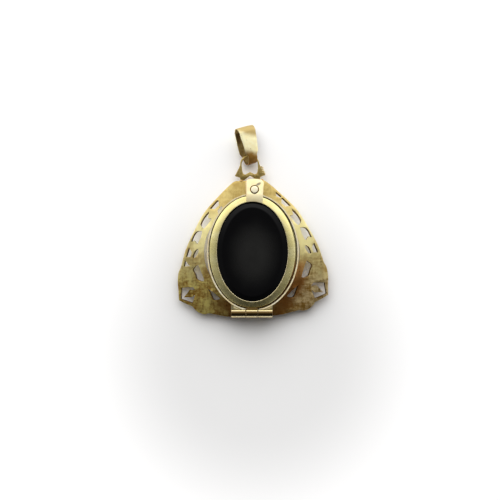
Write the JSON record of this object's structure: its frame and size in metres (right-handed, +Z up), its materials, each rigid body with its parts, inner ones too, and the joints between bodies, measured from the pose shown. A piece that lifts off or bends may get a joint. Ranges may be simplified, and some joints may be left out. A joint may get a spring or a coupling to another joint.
{
  "type": "locket",
  "caption": "Oval picture locket with a pierced shield-shaped plate, a hinged stone-set back cover with a tab and stud catch, and a strap bail.",
  "frame": {"origin": "middle of the flat table of the front stone, which the closed locket lies on", "axes": "+Z up, from the front stone to the hinged back cover; +Y from the hinge to the bail; +X to the right seen from above"},
  "size_m": [0.0286, 0.0371, 0.0045],
  "materials": {
    "plate_gold": "satin yellow gold with fine scratches",
    "polished_gold": "polished yellow gold",
    "pale_gold": "polished pale yellow gold",
    "onyx": "polished black onyx",
    "card": "matt card",
    "clear_sheet": "clear"
  },
  "bodies": {
    "case": {"pierced_plate": "plate_gold", "top_loop": "plate_gold", "case_wall": "polished_gold", "case_floor": "plate_gold", "front_bezel": "polished_gold", "front_onyx": "onyx", "hinge_bearer": "polished_gold", "left_knuckle": "polished_gold", "right_knuckle": "polished_gold", "hinge_pin": "polished_gold", "catch_stud": "pale_gold", "picture_card": "card", "picture_glass": "clear_sheet", "picture_rim": "plate_gold"},
    "cover": {"cover_frame": "pale_gold", "cover_onyx": "onyx", "cover_retainer": "plate_gold", "cover_knuckle": "polished_gold", "catch_tab": "pale_gold"},
    "bail": {"bail": "pale_gold"}
  },
  "joints": [
    {"name": "cover_hinge", "type": "hinge", "parent": "case", "child": "cover", "pos_m": [-0.0002, -0.01167, 0.0037], "axis": [1, 0, 0], "range_deg": [0, 115]},
    {"name": "bail_swing", "type": "hinge", "parent": "case", "child": "bail", "pos_m": [-0.00065, 0.01807, 0.00166], "axis": [0.9993, 0.0366, 0], "range_deg": [-90, 110]}
  ]
}
